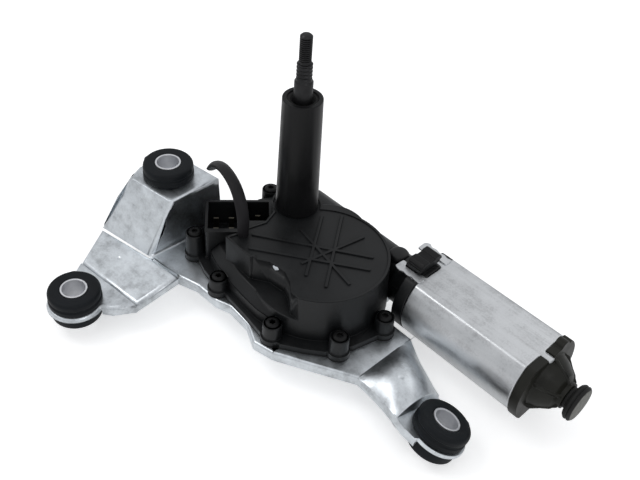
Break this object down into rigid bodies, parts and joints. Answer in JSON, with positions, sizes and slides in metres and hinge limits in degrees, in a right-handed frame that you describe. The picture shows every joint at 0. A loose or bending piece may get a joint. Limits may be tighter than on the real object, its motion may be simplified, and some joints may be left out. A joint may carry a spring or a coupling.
{
  "type": "rear wiper motor",
  "caption": "Worm gear wiper motor with an oscillating spindle in a long tube, a moulded gear case and a pressed steel bracket on rubber grommets.",
  "frame": {"origin": "on the spindle's axis at the wiper arm's seat, the foot of the threaded stud", "axes": "+Z out along the spindle, +X along the motor towards its far end"},
  "size_m": [0.2445, 0.1661, 0.147],
  "materials": {
    "zinc_plated_sheet": "bright zinc plate over pressed steel",
    "black_rubber": "moulded rubber",
    "dark_nylon": "glass-filled nylon, fine spark-eroded texture",
    "zinc_screw": "dark plated steel",
    "black_nylon": "black glass-filled nylon",
    "sintered_bronze": "oil-filled sintered bronze",
    "black_steel": "black oxide steel",
    "gear_steel": "hardened steel, lightly greased",
    "white_acetal": "moulded acetal",
    "core_iron": "stacked laminations",
    "copper_wire": "enamelled copper",
    "zinc_plated_can": "bright zinc plate over a drawn can",
    "ferrite": "sintered ferrite",
    "brown_phenolic": "phenolic board",
    "carbon": "pressed carbon",
    "tinned_brass": "tinned brass blades",
    "grommet_rubber": "moulded blue-black rubber",
    "zinc_sleeve": "zinc plated steel tube"
  },
  "bodies": {
    "housing": {"mounting_bracket": "zinc_plated_sheet", "cover_gasket": "black_rubber", "gear_cover": "dark_nylon", "connector_socket": "dark_nylon", "cover_screws": "zinc_screw", "spindle_tube": "black_nylon", "spindle_bush_upper": "sintered_bronze", "spindle_bush_lower": "sintered_bronze", "spindle_seal": "black_rubber", "wheel_axle": "gear_steel", "thrust_button": "white_acetal", "shaft_bearing_front": "sintered_bronze", "shaft_bearing_rear": "sintered_bronze", "motor_can": "zinc_plated_can", "field_magnets": "ferrite", "brush_card": "brown_phenolic", "carbon_brushes": "carbon", "connector_terminals": "tinned_brass", "end_cap": "black_nylon", "end_buffer": "black_rubber", "breather_pipe": "black_nylon", "grommet_upper": "grommet_rubber", "grommet_left": "grommet_rubber", "grommet_right": "grommet_rubber", "sleeve_upper": "zinc_sleeve", "sleeve_left": "zinc_sleeve", "sleeve_right": "zinc_sleeve", "can_clip": "black_nylon"},
    "armature": {"armature_shaft": "gear_steel", "worm": "gear_steel", "armature_core": "core_iron", "armature_windings": "copper_wire", "commutator": "copper_wire"},
    "wheel": {"gear_wheel": "white_acetal", "crank_pin": "gear_steel"},
    "spindle": {"wiper_spindle": "black_steel", "spindle_pinion": "gear_steel", "spindle_circlip": "gear_steel"},
    "rocker": {"rocker_link": "gear_steel"},
    "sector": {"sector_link": "gear_steel", "sector_pin": "gear_steel"}
  },
  "joints": [
    {"name": "armature_spin", "type": "hinge", "parent": "housing", "child": "armature", "pos_m": [0.06, 0.0216, -0.104], "axis": [1, 0, 0], "range_deg": [0, 10578]},
    {"name": "wheel_turn", "type": "hinge", "parent": "housing", "child": "wheel", "pos_m": [0.0347, -0.015, -0.104], "axis": [0, 0, 1], "range_deg": [0, 176.3]},
    {"name": "spindle_swing", "type": "hinge", "parent": "housing", "child": "spindle", "pos_m": [0, 0, 0], "axis": [0, 0, 1], "range_deg": [0, 110.63]},
    {"name": "rocker_swing", "type": "hinge", "parent": "housing", "child": "rocker", "pos_m": [0, 0, -0.0987], "axis": [0, 0, 1], "range_deg": [0, 23.39]},
    {"name": "sector_swing", "type": "hinge", "parent": "rocker", "child": "sector", "pos_m": [0.022, 0.00013, -0.096], "axis": [0, 0, 1], "range_deg": [-40.71, 0]}
  ],
  "couplings": [
    {"joint": "wheel_turn", "follows": "armature_spin", "ratio": 0.016667},
    {"joint": "spindle_swing", "follows": "armature_spin", "ratio": 0.010459},
    {"joint": "rocker_swing", "follows": "armature_spin", "ratio": 0.0022108},
    {"joint": "sector_swing", "follows": "armature_spin", "ratio": -0.0038489}
  ]
}
